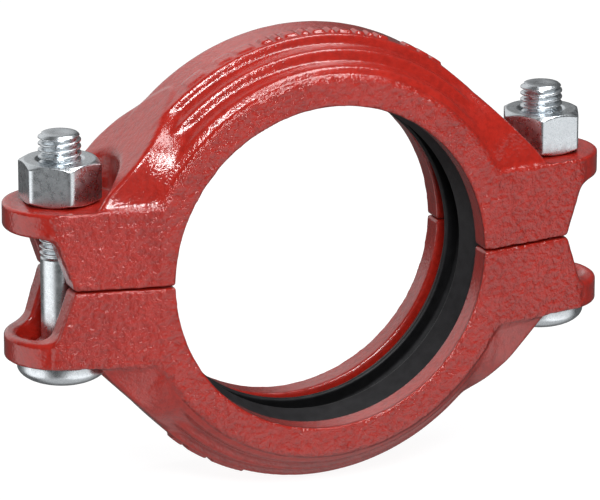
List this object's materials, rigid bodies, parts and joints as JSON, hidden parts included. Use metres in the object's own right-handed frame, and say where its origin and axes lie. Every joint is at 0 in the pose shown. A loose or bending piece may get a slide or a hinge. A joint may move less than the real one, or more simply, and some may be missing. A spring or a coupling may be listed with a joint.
{
  "type": "pipe coupling",
  "caption": "Split cast housing clamped round a C-section rubber gasket by track-head bolts and hex nuts, for joining grooved pipe ends.",
  "frame": {"origin": "centre of the bore, midway between the front and rear faces", "axes": "+X across the pipe, from the left bolt to the right bolt; +Y along the pipe, from the front face to the rear face; +Z along the bolts, from their heads to the nuts"},
  "size_m": [0.1888, 0.044, 0.1364],
  "materials": {
    "housing": "glossy red enamel over a rough casting",
    "gasket": "satin black moulded rubber",
    "bolts": "bright zinc plate",
    "nuts": "bright zinc plate"
  },
  "bodies": {
    "lower_half": {"lower_housing": "housing", "bolt_left": "bolts", "bolt_right": "bolts"},
    "upper_half": {"upper_housing": "housing"},
    "seal": {"gasket": "gasket"},
    "left_nut": {"nut_left": "nuts"},
    "right_nut": {"nut_right": "nuts"}
  },
  "joints": [
    {"name": "upper_housing_lift", "type": "slide", "parent": "lower_half", "child": "upper_half", "axis": [0, 0, 1], "range_m": [0, 0.00781]},
    {"name": "gasket_float", "type": "slide", "parent": "lower_half", "child": "seal", "axis": [0, 0, 1], "range_m": [0, 0.00391]},
    {"name": "left_nut_turn", "type": "hinge", "parent": "upper_half", "child": "left_nut", "pos_m": [-0.0772, 0, 0.03], "axis": [0, 0, 1], "range_deg": [0, 1440]},
    {"name": "right_nut_turn", "type": "hinge", "parent": "upper_half", "child": "right_nut", "pos_m": [0.0772, 0, 0.03], "axis": [0, 0, 1], "range_deg": [0, 1440]}
  ],
  "couplings": [
    {"joint": "left_nut_turn", "follows": "upper_housing_lift", "rad_per_m": 3215.6},
    {"joint": "right_nut_turn", "follows": "upper_housing_lift", "rad_per_m": 3215.6},
    {"joint": "gasket_float", "follows": "upper_housing_lift", "ratio": 0.5}
  ]
}
